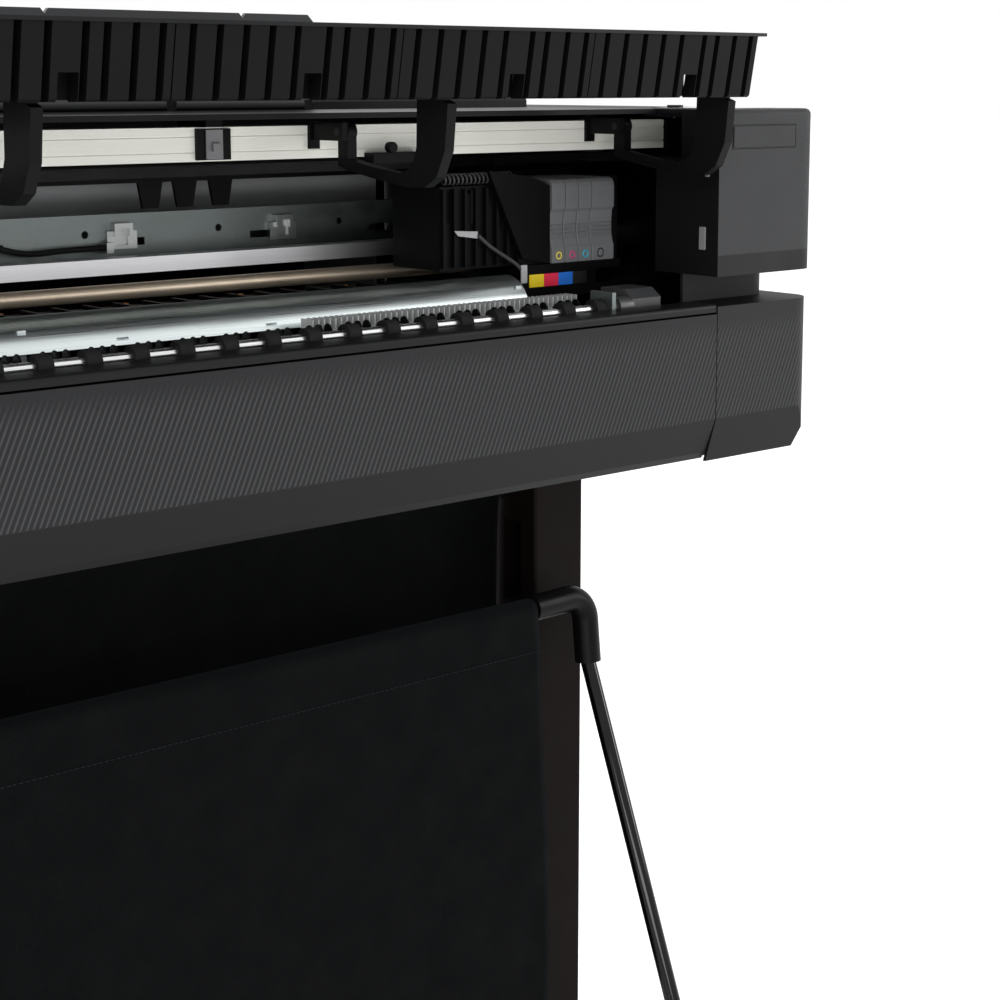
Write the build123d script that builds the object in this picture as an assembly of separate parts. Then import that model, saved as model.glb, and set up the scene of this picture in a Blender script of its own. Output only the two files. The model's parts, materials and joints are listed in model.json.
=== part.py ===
"""Large format plotter: a 914 mm (36 inch) roll-fed inkjet plotter on a wheeled stand with a fabric bin.

Frame: X to the right along the platen, Y to the back, Z up, origin on the floor under the middle of the
machine. The lid is modelled open and the sheet tray raised. Every size is in millimetres.
"""
import math
import os

from build123d import *

# ---- driving dimensions -------------------------------------------------------------------------
WIDTH = 1317.0              # over both end blocks
FOOT_DEPTH = 605.0          # length of the stand's feet
FRONT, BACK = -220.0, 220.0  # body front and back faces
BOTTOM, TOP = 647.0, 932.0  # body underside and flat top
CAP_TOP = 775.0             # top of the lower covers
BLOCK_BOTTOM = 799.0        # underside of the end blocks, above the recessed neck
BEVEL_TOP = 684.0           # where the front panel starts to slope under
WALL = 3.0                  # moulded cover thickness
HALF = WIDTH / 2

BLOCK_RIGHT = 536.0         # inner face of the right end block
BLOCK_LEFT = -512.0         # inner face of the left end block
SEAM_RIGHT, SEAM_LEFT = 537.3, -513.5   # where the lower covers meet the front panel
PLATE_LEFT, PLATE_RIGHT = -521.0, 636.0  # inner faces of the chassis side plates
PLATE = 3.0

MEDIA_LEFT, MEDIA_RIGHT = -505.0, 409.0  # 914 mm wide media path
OUTPUT_Y, OUTPUT_Z = -180.0, 777.0       # output roller axis
FEED_Y, FEED_Z = -12.0, 800.0            # feed roller axis
SHAFT_R, FEED_R = 4.0, 6.0
RUN = 0.05                               # radial clearance of a running fit

LID_PIVOT = (-133.5, 918.0)              # lid hinge axis, as (y, z)
LID_LEFT, LID_RIGHT = -508.0, 533.0
RIB_SEGMENTS, SEGMENT_PITCH, RIBS_END = 6, 171.8, 525.0
GROOVE = 5.0
GROOVES = (12.0, 31.0, 50.0, 69.0, 88.0, 112.0, 126.0, 145.0, 163.0)   # middles, from a segment's left end
ARM_X = (-500.0, -385.0, -75.0, 234.0, 513.0)
ARM_HALF = 4.0
PIN_R = 3.0

TRAY_AXIS = (2.0, 937.0)                 # sheet tray hinge axis, as (y, z)
TRAY_LEFT, TRAY_RIGHT, TRAY_TOP = -508.0, 300.0, 1006.0
ROLL_COVER_AXIS = (211.0, 925.0)         # roll cover hinge axis, as (y, z)
SPINDLE = (157.0, 872.0)                 # roll spindle axis, as (y, z)
BUTTON = (614.0, -95.0)                  # power button centre, as (x, y)

CARRIAGE_LEFT, CARRIAGE_RIGHT = 352.0, 540.0
CARTRIDGES = (("yellow", 462.0, 15.0), ("magenta", 477.0, 15.0), ("cyan", 492.0, 15.0), ("black", 507.0,
        26.0))
BELT_Y, BELT_Z, PULLEY_R = 13.0, 888.0, 11.0
PULLEY_X = (-505.0, 615.0)               # idler and drive pulley

LEG_X = ((-603.0, -548.0), (457.0, 512.0))
LEG_Y = (-90.0, 50.0)
FOOT_Z = (45.0, 75.0)
CASTER_Y = 270.0
CASTER_TRAIL, WHEEL_R = 12.0, 20.0
BIN_LEFT, BIN_RIGHT = -520.0, 422.0
BIN_BAR = (-125.0, 526.0)                # front bar of the bin, as (y, z)
BIN_REAR = (-40.0, 625.0)                # rear bar of the bin
ELBOW_KNEE_Y = -121.0                    # where the sleeve turns down
ROD_TOP, ROD_TOE = (-127.0, 470.0), (-287.0, 60.0)   # ends of a side rod, as (y, z)


# ---- helpers ------------------------------------------------------------------------------------
def block(x, y, z):
    """Box between the (low, high) pairs x, y and z."""
    pairs = (x, y, z)
    return Pos(*[sum(pair) / 2 for pair in pairs]) * Box(*[pair[1] - pair[0] for pair in pairs])


def prism(points, x):
    """Outline of (y, z) points, extruded along X between the pair x."""
    face = Plane.YZ.offset(x[0]) * make_face(Polyline(*points, close=True))
    return extrude(face, amount=x[1] - x[0])


def rod_x(radius, x, y, z):
    """Cylinder along X between the pair x."""
    return Pos((x[0] + x[1]) / 2, y, z) * Rot(0, 90, 0) * Cylinder(radius, x[1] - x[0])


def rod_y(radius, x, y, z):
    """Cylinder along Y between the pair y."""
    return Pos(x, (y[0] + y[1]) / 2, z) * Rot(90, 0, 0) * Cylinder(radius, y[1] - y[0])


def rod_z(radius, x, y, z):
    """Cylinder along Z between the pair z."""
    return Pos(x, y, (z[0] + z[1]) / 2) * Cylinder(radius, z[1] - z[0])


def stadium(radius, ends, x):
    """Belt shape round two (y, z) centres, extruded along X between the pair x."""
    (y0, z0), (y1, z1) = ends
    length = math.hypot(y1 - y0, z1 - z0)
    side_y = -(z1 - z0) / length * radius
    side_z = (y1 - y0) / length * radius
    corners = [(y0 + side_y, z0 + side_z), (y1 + side_y, z1 + side_z),
               (y1 - side_y, z1 - side_z), (y0 - side_y, z0 - side_z)]
    return prism(corners, x) + rod_x(radius, x, y0, z0) + rod_x(radius, x, y1, z1)


def group(solids):
    """Several separate solids in one node."""
    return Compound(children=[piece for solid in solids for piece in solid.solids()])


def mirror_sides(x, side):
    """The pair x on the right side, or its mirror image on the left."""
    return x if side > 0 else (-x[1], -x[0])


# ---- body covers --------------------------------------------------------------------------------
def front_panel():
    """Textured front wall with the sloped edge under it."""
    outer = [(-192, 769), (FRONT, 769), (FRONT, BEVEL_TOP), (-209, 655), (-205, 649.5), (-198, 647.5),
             (-192, 647.5)]
    inner = [(-192, 650.5), (-197.5, 650.5), (-202.5, 652), (-206, 656.5), (-217, 684.6), (-217, 766),
             (-192, 766)]
    return prism(outer + inner, (SEAM_LEFT + 1, SEAM_RIGHT - 1))


def front_trim_strip():
    """Smooth strip along the top of the front panel."""
    strip = block((SEAM_LEFT + 1, SEAM_RIGHT - 1), (-219, -192), (770.5, 777))
    front_edge = strip.edges().filter_by(Axis.X).group_by(Axis.Y)[0].sort_by(Axis.Z)[-1]
    return fillet(front_edge, 3)


def rounded_plan(x, y, z, side, radius):
    """Box whose two outer upright corners are rounded."""
    body = block(x, y, z)
    upright = body.edges().filter_by(Axis.Z).group_by(Axis.X)
    return fillet(upright[-1 if side > 0 else 0], radius)


def side_wedge(side, face_x, depth):
    """Wedge that slopes an end cover's lower side inwards by depth at the underside."""
    low = depth * (BEVEL_TOP - BOTTOM + 2) / (BEVEL_TOP - BOTTOM)
    corners = ((side * (face_x + 5), BEVEL_TOP), (side * face_x, BEVEL_TOP), (side * (face_x - low),
            BOTTOM - 2),
               (side * (face_x + 5), BOTTOM - 2))
    face = Plane.XZ.offset(BACK + 1) * make_face(Polyline(*corners, close=True))
    return extrude(face, amount=-2 * BACK - 2)


def base_cover(side):
    """Lower end cover with the sloped front and the recessed neck on top."""
    inner_x = SEAM_RIGHT if side > 0 else -SEAM_LEFT
    outer = rounded_plan(mirror_sides((inner_x, HALF), side), (FRONT, BACK), (BOTTOM, CAP_TOP), side, 25)
    slope = [(FRONT - 1, BOTTOM - 1), (FRONT - 1, BEVEL_TOP), (FRONT, BEVEL_TOP), (-208.6, BOTTOM),
             (-208.6, BOTTOM - 1)]
    outer -= prism(slope, (-HALF - 1, HALF + 1)) + side_wedge(side, HALF, 15)
    hollow = rounded_plan(mirror_sides((inner_x - 1, HALF - WALL), side), (FRONT + WALL, BACK - WALL),
                          (BOTTOM - 1, CAP_TOP - WALL), side, 22)
    inner_slope = [(FRONT, BOTTOM - 2), (FRONT, BEVEL_TOP), (FRONT + WALL, BEVEL_TOP), (-205.3, BOTTOM - 2)]
    hollow -= prism(inner_slope, (-HALF - 1, HALF + 1)) + side_wedge(side, HALF - WALL, 15)
    neck_x = (540.0, 645.0) if side > 0 else (516.0, 645.0)
    neck = rounded_plan(mirror_sides(neck_x, side), (-178, 205), (CAP_TOP - WALL, BLOCK_BOTTOM), side, 18)
    neck_hole = rounded_plan(mirror_sides((neck_x[0] - 4, neck_x[1] - WALL), side), (-175, 202),
                             (CAP_TOP - WALL - 1, BLOCK_BOTTOM + 1), side, 15)
    return outer - hollow + neck - neck_hole


def end_block(side):
    """Upper end housing, open underneath and, behind its front bay, towards the middle."""
    inner_x = BLOCK_RIGHT if side > 0 else -BLOCK_LEFT
    body = rounded_plan(mirror_sides((inner_x, HALF), side), (FRONT, BACK), (BLOCK_BOTTOM, TOP), side, 20)
    top_edges = body.faces().sort_by(Axis.Z)[-1].edges()
    seam = top_edges.filter_by(Axis.Y).sort_by(Axis.X)[0 if side > 0 else -1]
    body = fillet([edge for edge in top_edges if edge != seam], 5)
    body -= rounded_plan(mirror_sides((inner_x + WALL, HALF - WALL), side), (FRONT + WALL, BACK - WALL),
                         (BLOCK_BOTTOM - 1, TOP - WALL), side, 17)
    wall = mirror_sides((inner_x - 1, inner_x + WALL + 1), side)
    body -= block(wall, (-150, 196), (BLOCK_BOTTOM - 1, TOP - WALL))
    body -= block(wall, (-178, -149), (893, TOP - WALL))
    return body - rod_x(PIN_R + RUN, wall, *ROLL_COVER_AXIS)


def right_end_block():
    """Housing over the parking station."""
    body = end_block(1)
    body -= block((560, 640), (-205, -120), (TOP - WALL - 1, TOP + 1))
    return body - rod_z(7 + 2 * RUN, *BUTTON, (TOP - WALL - 1, TOP + 1))


def left_end_block():
    """Housing over the idler side."""
    body = end_block(-1)
    for x, z in SOCKETS.values():
        body -= block(x, (BACK - WALL - 1, BACK + 1), z)
    return body


SOCKETS = {"inlet": ((-600.0, -573.0), (830.0, 850.0)), "network": ((-560.0, -544.0), (832.0, 846.0)),
           "serial": ((-560.0, -548.0), (858.0, 869.0))}


def rear_sockets():
    """Mains inlet with three blades, network jack and serial jack."""
    shells = []
    for name, (x, z) in SOCKETS.items():
        shell = block((x[0] + 0.2, x[1] - 0.2), (BACK - 24, BACK), (z[0] + 0.2, z[1] - 0.2))
        shell += block((x[0] - 3, x[1] + 3), (BACK - WALL - 3, BACK - WALL), (z[0] - 3, z[1] + 3))
        shell -= block((x[0] + 2, x[1] - 2), (BACK - 18, BACK + 1), (z[0] + 2, z[1] - 2))
        if name == "inlet":
            for blade_x, blade_z in ((-593.5, 838), (-586.5, 843), (-579.5, 838)):
                shell += block((blade_x - 1, blade_x + 1), (BACK - 19, BACK - 4), (blade_z - 2,
                        blade_z + 2))
        shells.append(shell)
    return group(shells)


def roof_front():
    """Fixed sheet in front of the roll cover."""
    roof = block((BLOCK_LEFT + 1, BLOCK_RIGHT - 1), (-150, 7), (TOP - 4, TOP))
    for x in tray_lugs():
        lug = block(x, (TRAY_AXIS[0] - 3, TRAY_AXIS[0] + 3), (TOP - 1, TRAY_AXIS[1] + 2.6))
        roof += lug - rod_x(2, x, *TRAY_AXIS)
    return roof


def rear_cover():
    """Vented sheet that closes the back."""
    cover = block((BLOCK_LEFT + 2, BLOCK_RIGHT - 2), (214.5, 217.5), (652, 920))
    louvre_count, louvre_pitch = 14, 14
    for index in range(louvre_count):
        x = 300 + index * louvre_pitch
        cover -= block((x, x + 5), (214, 218), (700, 760))
    return cover


def cover_screws():
    """Screw heads of the rear cover."""
    heads = []
    for x in (-480, -240, 0, 240, 480):
        for z in (668, 905):
            head = rod_y(4, x, (217.5, 219.5), z) - block((x - 3, x + 3), (218.7, 220), (z - 0.5, z + 0.5))
            heads.append(head)
    return group(heads)


def touch_screen():
    """Guessed control screen on the right housing."""
    glass = block((560.3, 639.7), (-204.7, -120.3), (TOP - 5, TOP + 0.6))
    return glass + block((556, 644), (-209, -116), (TOP - 7, TOP - WALL))


def power_button():
    """Push button beside the screen."""
    return rod_z(7, *BUTTON, (TOP - 7, TOP + 2)) + rod_z(10, *BUTTON, (TOP - 9, TOP - 6))


# ---- chassis and fixed mechanism ----------------------------------------------------------------
def chassis():
    """Base pan, side plates, two roller brackets and the bracket of the idler pulley."""
    floor = BOTTOM + 3
    pan = block((-639, 639), (-190, 205), (BOTTOM, floor)) + block((-500, 500), (204, 213), (BOTTOM, floor))
    pan += block((-500, 500), (211, 213), (BOTTOM, floor + 17))
    left = block((PLATE_LEFT - PLATE, PLATE_LEFT), (-170, 201), (floor, 920))
    left -= rod_x(FEED_R + RUN, (PLATE_LEFT - 9, PLATE_LEFT + 9), FEED_Y, FEED_Z)
    left += block((PLATE_LEFT, PULLEY_X[0] + 15), (0, 26), (895, 897))
    left += rod_z(PIN_R, PULLEY_X[0], BELT_Y, (882, 896))
    right = block((PLATE_RIGHT, PLATE_RIGHT + PLATE), (-158, 188), (floor, 920))
    pieces = [pan, left, right]
    for x in ((-506, -502), (448, 452)):
        bracket = block(x, (-190, -165), (floor, 790)) + block(x, (-190, 4), (floor, 760))
        bracket += block(x, (-26, -2), (floor, 807.5))
        bracket -= rod_x(SHAFT_R + RUN, (x[0] - 1, x[1] + 1), OUTPUT_Y, OUTPUT_Z)
        bracket -= rod_x(FEED_R + RUN, (x[0] - 1, x[1] + 1), FEED_Y, FEED_Z)
        pieces.append(bracket)
    return group(pieces)


def steel_beam():
    """Galvanised channel across the machine, with a folded top flange, slots and round holes."""
    outline = [(50, 811), (100, 811), (100, 813), (52, 813), (52, 851), (62, 851), (62, 845), (64, 845),
               (64, 853), (50, 853)]
    beam = prism(outline, (PLATE_LEFT, PLATE_RIGHT))
    for x in range(-480, 600, 120):
        beam -= rod_y(3, x, (49, 53), 838)
        beam -= block((x + 30, x + 52), (49, 53), (828, 834))
    return beam


def beam_clips():
    """Two bright spring clips on the beam's front face, the left one with a catch for the lead."""
    clips = []
    for x in (150, 300):
        clip = block((x - 13, x + 13), (46, 50), (826, 840)) + block((x - 8, x + 8), (43, 50), (836, 846))
        clips.append(clip - block((x - 5, x + 5), (42, 48), (829, 842)))
    clips[0] += block((132, 138), (38, 50), (824, 832))
    return group(clips)


def upper_rail():
    """Extruded rail under the roof, with two shallow grooves in its front face."""
    rail = block((PLATE_LEFT, 595), (-100, -60), (898, 922))
    for z in (904, 915):
        rail -= block((PLATE_LEFT - 1, 596), (-101, -99), (z, z + 1.2))
    return rail


def hinge_brackets():
    """Ears that carry the lid's pins, the rail's end bracket, the posts up to the roof, and the band."""
    pieces = []
    for x in ARM_X:
        side = -1 if x > 0 else 1
        ear_x = sorted((x + side * (ARM_HALF + 0.5), x + side * (ARM_HALF + 5.5)))
        ear = block(ear_x, (-140, -100), (911.5, 924.5)) - rod_x(PIN_R, ear_x, *LID_PIVOT)
        pieces.append(ear + block((ear_x[0] - 2, ear_x[1] + 2), (-103, -100), (905, 925)))
    pieces.append(block((595, PLATE_RIGHT), (-104, -60), (896, 921)))
    pieces.append(block((126, 154), (-103, -100), (899, 921)) - block((132, 148), (-104, -102), (898, 922)))
    for x in (-350, 143):
        pieces.append(block((x - 7, x + 7), (-99, -62), (922, TOP - 4)))
    return group(pieces + [tab_band()])


def hinge_pins():
    """Five lid pins and the long pin of the sheet tray."""
    pins = []
    for x in ARM_X:
        side = -1 if x > 0 else 1
        reach = sorted((x - side * (ARM_HALF + 1.5), x + side * (ARM_HALF + 5.5)))
        pins.append(rod_x(PIN_R, reach, *LID_PIVOT))
    pins.append(rod_x(2, (TRAY_LEFT, TRAY_RIGHT), *TRAY_AXIS))
    return group(pins)


def tab_band():
    """Black sheet behind the carriage, with three hanging tabs and a clip for the lead."""
    band = block((PLATE_LEFT, PLATE_RIGHT), (34, 37), (877, TOP - 4))
    for x in (169, 200, 233):
        tab = Plane.XZ.offset(-37) * make_face(Polyline((x - 11, 878), (x + 11, 878), (x + 7, 857),
                                                        (x - 7, 857),
                                                        close=True))
        band += extrude(tab, amount=3)
    return band + block((LEAD_ROUTE[0][0] - 5, LEAD_ROUTE[0][0] + 5), (37, 46), (LEAD_ROUTE[0][2],
            LEAD_ROUTE[0][2] + 8))


def guide_bar():
    """Flat bright bar that the carriage shoe slides on."""
    return block((PLATE_LEFT, PLATE_RIGHT), (4, 22), (811, 823))


def platen():
    """Black ribbed platen between the feed roller and the rounded front rail."""
    plate = block((MEDIA_LEFT + 5, 446), (-98, -30), (785, 792))
    for index in range(38):
        x = MEDIA_LEFT + 12 + index * 24.5
        plate += block((x, x + 3), (-96, -32), (792, 795))
    legs = [block((x, x + 6), (-95, -35), (BOTTOM + 3, 785)) for x in (-480, -30, 430)]
    for leg in legs:
        plate += leg
    return plate


def platen_rail():
    """Rounded bright rail in front of the platen, on its own feet."""
    length = (MEDIA_LEFT - 1, MEDIA_RIGHT + 1)
    rail = rod_x(27, (MEDIA_LEFT, MEDIA_RIGHT), -109, 774)
    rail -= block(length, (-137, -80), (740, 779)) + block(length, (-109, -80), (740, 802))
    rail -= block(length, (-131, -108), (778, 788))
    for x in (-470, -30, 400):
        rail += block((x, x + 6), (-130, -112), (BOTTOM + 3, 794))
    for x in range(-440, 400, 120):
        rail -= block((x, x + 9), (-137, -132), (782, 784))
    return rail


def pinch_springs():
    """Pairs of small upright springs in front of the feed roller, as plain sleeves."""
    springs = []
    for x in range(-492, 400, 100):
        for shift in (-3, 3):
            springs.append(rod_z(2, x + shift, -25, (785, 793)))
    return group(springs)


def output_comb():
    """Fine comb between the rail and the output roller, at the right-hand end."""
    comb = block((180, 442), (-160, -150), (776, 779)) + block((180, 186), (-160, -150), (760, 776))
    comb += block((436, 442), (-160, -150), (760, 776))
    for index in range(52):
        x = 182 + index * 5
        comb += block((x, x + 1.2), (-160, -146), (779, 787))
    comb += block((180, 442), (-160, -142), (757, 760))
    for x in (180, 436):
        comb += block((x, x + 6), (-160, -142), (BOTTOM + 3, 757))
    return group([comb, end_guide()])


def drive_motors():
    """Paper motor behind the left plate, carriage motor under the right end of the roof."""
    outside = PLATE_LEFT - PLATE
    paper = rod_x(21, (outside - 46, outside), FEED_Y, FEED_Z) + rod_x(8, (outside - 52, outside - 45),
            FEED_Y, FEED_Z)
    carriage = rod_z(17, PULLEY_X[1], BELT_Y, (895, 925)) + block((592, PLATE_RIGHT), (-6, 32), (893.5,
            896))
    carriage += rod_z(PIN_R, PULLEY_X[1], BELT_Y, (882, 894))
    return group([paper, carriage])


def drive_belts():
    """Carriage belt round its two pulleys, and the roller belt at the left-hand bracket."""
    loop = {}
    for name, radius in (("outer", PULLEY_R + 1.8), ("inner", PULLEY_R + 0.5)):
        sketch = Plane.XY.offset(BELT_Z - 3) * (Pos(sum(PULLEY_X) / 2, BELT_Y) * SlotCenterToCenter(
            PULLEY_X[1] - PULLEY_X[0], 2 * radius))
        loop[name] = extrude(sketch, amount=6)
    ends = ((OUTPUT_Y, OUTPUT_Z), (FEED_Y, FEED_Z))
    roller_belt = stadium(10.6, ends, (-511, -508)) - stadium(9.2, ends, (-512, -507))
    return group([loop["outer"] - loop["inner"], roller_belt])


def encoder_strip():
    """Thin strip that the carriage reads its position from."""
    strip = block((PLATE_LEFT, PLATE_RIGHT), (-30.4, -30), (884, 892))
    return strip


def service_station():
    """Parking tray for the print head, with four sealing caps and a wiper."""
    tray = block((546, 632), (-100, -24), (BOTTOM + 3, 790)) - block((549, 629), (-97, -27), (770, 791))
    for index in range(4):
        x = 554 + index * 15
        cap = block((x, x + 11), (-85, -50), (769, 796)) - block((x + 2, x + 9), (-83, -52), (790, 797))
        tray += cap
    return tray + block((618, 620), (-90, -40), (769, 797))


def end_guide():
    """Grey wedge at the end of the output roller."""
    wedge = prism([(-186, 765), (-186, 783), (-176, 790), (-150, 790), (-150, 765)], (474, 506))
    wedge += block((474, 506), (-180, -150), (BOTTOM + 3, 766))
    return wedge + rod_x(8, (460, 475), OUTPUT_Y, OUTPUT_Z) + rod_x(5.5, (456.5, 461), OUTPUT_Y, OUTPUT_Z)


def roll_bay():
    """Trough for the media roll with a slotted cradle plate at each end."""
    outer = [(104, 915), (104, 812), (112, 806), (202, 806), (210, 812), (210, 915)]
    inner = [(208, 915), (208, 813), (201, 808), (113, 808), (106, 813), (106, 915)]
    bay = prism(outer + inner, (-507, 436))
    for x in ((-511, -507), (436, 440)):
        plate = prism([(104, BOTTOM + 3), (104, 915), (210, 915), (210, BOTTOM + 3)], x)
        plate -= block((x[0] - 1, x[1] + 1), (SPINDLE[0] - 8.1, SPINDLE[0] + 8.1), (SPINDLE[1], 916))
        plate -= rod_x(8.1, (x[0] - 1, x[1] + 1), *SPINDLE)
        bay += plate
    return bay


def lead():
    """Lead clipped to the black band and hanging in front of the beam, in straight runs and arcs."""
    points = [Vector(*point) for point in LEAD_ROUTE]
    radii = []
    for before, corner, after in zip(points, points[1:], points[2:]):
        run_in, run_out = corner - before, after - corner
        turn = math.radians(run_in.get_angle(run_out))
        radii.append(0.45 * min(run_in.length, run_out.length) / math.tan(turn / 2))
    path = FilletPolyline(*points, radius=radii)
    section = Plane(origin=path @ 0, z_dir=path % 0) * Circle(LEAD_R)
    tube = sweep(section, path=path)
    print("lead radii", [round(radius, 1) for radius in radii], "volume ratio",
          round(tube.volume / (math.pi * LEAD_R ** 2 * path.length), 4))
    return tube


LEAD_R = 2.2
LEAD_ROUTE = ((0.0, 41.5, 882.0), (0.0, 41.5, 862.0), (16.0, 41.5, 846.0), (40.0, 41.5, 833.0),
              (68.0, 41.5, 826.0), (98.0, 41.5, 828.0), (132.0, 41.5, 828.0))


# ---- lid ----------------------------------------------------------------------------------------
def lid_skin():
    """Cover sheet: level when the lid is up, the machine's front window when it is down."""
    outline = [(-270, 990.5), (-134, 990.5), (-134, 948), (-136.5, 948), (-136.5, 988), (-270, 988)]
    return prism(outline, (LID_LEFT, LID_RIGHT))


def rib_spans(left, right):
    """X pairs of the raised fields between the narrow grooves of one segment."""
    starts = [left] + [left + groove + GROOVE / 2 for groove in GROOVES]
    ends = [left + groove - GROOVE / 2 for groove in GROOVES] + [right]
    return zip(starts, ends)


def lid_ribs():
    """Six ribbed panels under the front of the lid."""
    segments = []
    for index in range(RIB_SEGMENTS):
        right = RIBS_END - index * SEGMENT_PITCH
        left = right - SEGMENT_PITCH + 1
        panel = prism([(-258.5, 988), (-250.5, 942), (-248, 942), (-256, 988)], (left, right))
        for start, end in rib_spans(left, right):
            panel += prism([(-268, 988), (-260, 943.5), (-258, 942), (-250.3, 942), (-258.2, 988)],
                           (start, end))
        panel -= block((left + 95.5, left + 109), (-270, -240), (941, 959))
        segments.append(panel)
    return group(segments)


def lid_arms():
    """Gooseneck arms from under the lid to the hinge pins."""
    outline = [(-255.2, 988), (-247.4, 941.2), (-253.5, 939), (-250, 907), (-241, 889), (-228, 881.5),
               (-206, 881),
               (-170, 885.5), (-140, 890.5), (-127.5, 893), (-127.5, 918), (-139.5, 918), (-139.5, 898.5),
               (-170, 893.5), (-200, 890.5), (-214, 895), (-219, 909), (-220, 945), (-220, 988)]
    arms = []
    for x in ARM_X:
        side = (x - ARM_HALF, x + ARM_HALF)
        arm = prism(outline, side) + rod_x(7, side, *LID_PIVOT)
        arms.append(arm - rod_x(PIN_R + RUN, side, *LID_PIVOT))
    return group(arms)


# ---- roof: roll cover and sheet tray ------------------------------------------------------------
def roll_cover():
    """Rear roof over the roll, with a raised front grip and a pin at each end."""
    outline = [(9, 929), (9, 938), (12, 941), (20, 941), (30, 935), (200, 934), (214, 931), (214, 922),
               (208, 922),
               (208, 929)]
    cover = prism(outline, (BLOCK_LEFT + 1.5, BLOCK_RIGHT - 1.5))
    for x in ((BLOCK_LEFT - 2.5, BLOCK_LEFT + 2), (BLOCK_RIGHT - 2, BLOCK_RIGHT + 2.5)):
        cover += rod_x(PIN_R, x, *ROLL_COVER_AXIS)
    return cover


def tray_lugs():
    """X pairs of the roof's hinge lugs, between the tray's knuckles."""
    return [(x, x + 8) for x in (-508.0, -340.0, -172.0, -4.0, 164.0, 290.0)]


def sheet_tray():
    """Raised tray that holds cut sheets, in five bays with notches between them."""
    tray = block((TRAY_LEFT, TRAY_RIGHT), (0, 4), (942.5, TRAY_TOP))
    for x in (-440, -272, -103, 66, 234):
        notch = Plane.XZ.offset(1) * make_face(Polyline((x - 4, TRAY_TOP + 1), (x + 4, TRAY_TOP + 1),
                                                        (x, TRAY_TOP - 4), close=True))
        tray -= extrude(notch, amount=-6)
    tray = chamfer(tray.edges().filter_by(Axis.Y).group_by(Axis.X)[-1].sort_by(Axis.Z)[-1], 5)
    for left, right in zip(tray_lugs(), tray_lugs()[1:]):
        knuckle_x = (left[1] + 0.5, right[0] - 0.5)
        knuckle = rod_x(4.2, knuckle_x, *TRAY_AXIS) + block(knuckle_x, (0, 4), (939, 943))
        tray += knuckle - rod_x(2 + RUN, knuckle_x, *TRAY_AXIS)
    for x in range(-490, 290, 42):
        tray += block((x, x + 3), (4, 8), (946, TRAY_TOP - 14))
    return tray


# ---- moving mechanism ---------------------------------------------------------------------------
def output_shaft():
    """Bright shaft with the belt pulley at its left end."""
    return rod_x(SHAFT_R, (-511.5, 455), OUTPUT_Y, OUTPUT_Z) + rod_x(8.7, (-511.5, -507.5), OUTPUT_Y,
                                                                     OUTPUT_Z)


def output_rollers():
    """Rubber sleeves pressed on the output shaft."""
    sleeves = []
    for index in range(28):
        x = 440 - index * 34.3
        sleeve = rod_x(8, (x - 5.5, x + 5.5), OUTPUT_Y, OUTPUT_Z)
        sleeves.append(sleeve - rod_x(SHAFT_R, (x - 6, x + 6), OUTPUT_Y, OUTPUT_Z))
    return group(sleeves)


def feed_roller():
    """Long driven roller that moves the paper."""
    return rod_x(FEED_R, (-523.5, 455), FEED_Y, FEED_Z) + rod_x(8.7, (-511.5, -507.5), FEED_Y, FEED_Z)


def belt_pulley(x):
    """Flanged pulley of the carriage belt, on an upright pin."""
    pulley = rod_z(PULLEY_R, x, BELT_Y, (BELT_Z - 3.5, BELT_Z + 3.5))
    for z in ((BELT_Z - 4.7, BELT_Z - 3.4), (BELT_Z + 3.4, BELT_Z + 4.7)):
        pulley += rod_z(PULLEY_R + 2, x, BELT_Y, z)
    return pulley - rod_z(PIN_R + RUN, x, BELT_Y, (870, 900))


def carriage_frame():
    """Print head carriage: floor, walls, sliding shoe, belt clamp and the lip for the colour key."""
    body = block((430, CARRIAGE_RIGHT), (-104, -30), (799, 806))
    body += block((430, CARRIAGE_RIGHT), (-40, -30), (806, 880)) + block((430, CARRIAGE_RIGHT), (-30,
            -22), (809, 880))
    body += block((533.6, CARRIAGE_RIGHT), (-100, -40), (806, 876))
    body += block((430, 461.6), (-98, -40), (806, 868))
    body += block((430, 505), (-104, -101), (787, 799))
    body += block((430, CARRIAGE_RIGHT), (-105, -101), (779, 787.4)) + block((505, 512), (-104, -101),
            (787, 799))
    body -= block((516, 530), (-106, -104), (781, 784))
    body += block((420, CARRIAGE_RIGHT), (-22, 0), (829, 838)) + block((420, CARRIAGE_RIGHT), (-1, 28),
            (808.5, 829))
    body += block((420, CARRIAGE_RIGHT), (-3, 0), (826, 838))
    body -= block((419, CARRIAGE_RIGHT + 1), (4 - RUN, 22 + RUN), (811 - RUN, 823 + RUN))
    body += block((470, 490), (-22, -4), (838, 893)) + block((470, 490), (-4, -0.1), (882, 893))
    return body - block((469, 491), (-30.9, -29.5), (881, 894))


def carriage_cover():
    """Black ribbed housing of the print head, its sloped side wing and the two guide pins in front."""
    cover = block((CARRIAGE_LEFT, 429.6), (-94, -34), (806, 872))
    for index in range(7):
        x = CARRIAGE_LEFT + 1 + index * 11
        cover += block((x, x + 2.4), (-97.5, -94), (808, 870))
    for x in (363.5, 381):
        cover += rod_z(1, x, -98.5, (843, 869)) + block((x - 1, x + 1), (-98.5, -93), (866, 869))
    wing = Plane.XZ.offset(98) * make_face(Polyline((396, 884), (432, 812), (462, 806), (461.6, 870),
                                                    (440, 878),
                                                    close=True))
    return cover + extrude(wing, amount=4)


def colour_key():
    """Strip of four coloured fields in front of the cartridges, as four tiles."""
    tiles = []
    for index in range(4):
        x = 437 + index * 16
        tiles.append(block((x, x + 15.4), (-105.2, -104), (788, 798.5)))
    return group(tiles)


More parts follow.
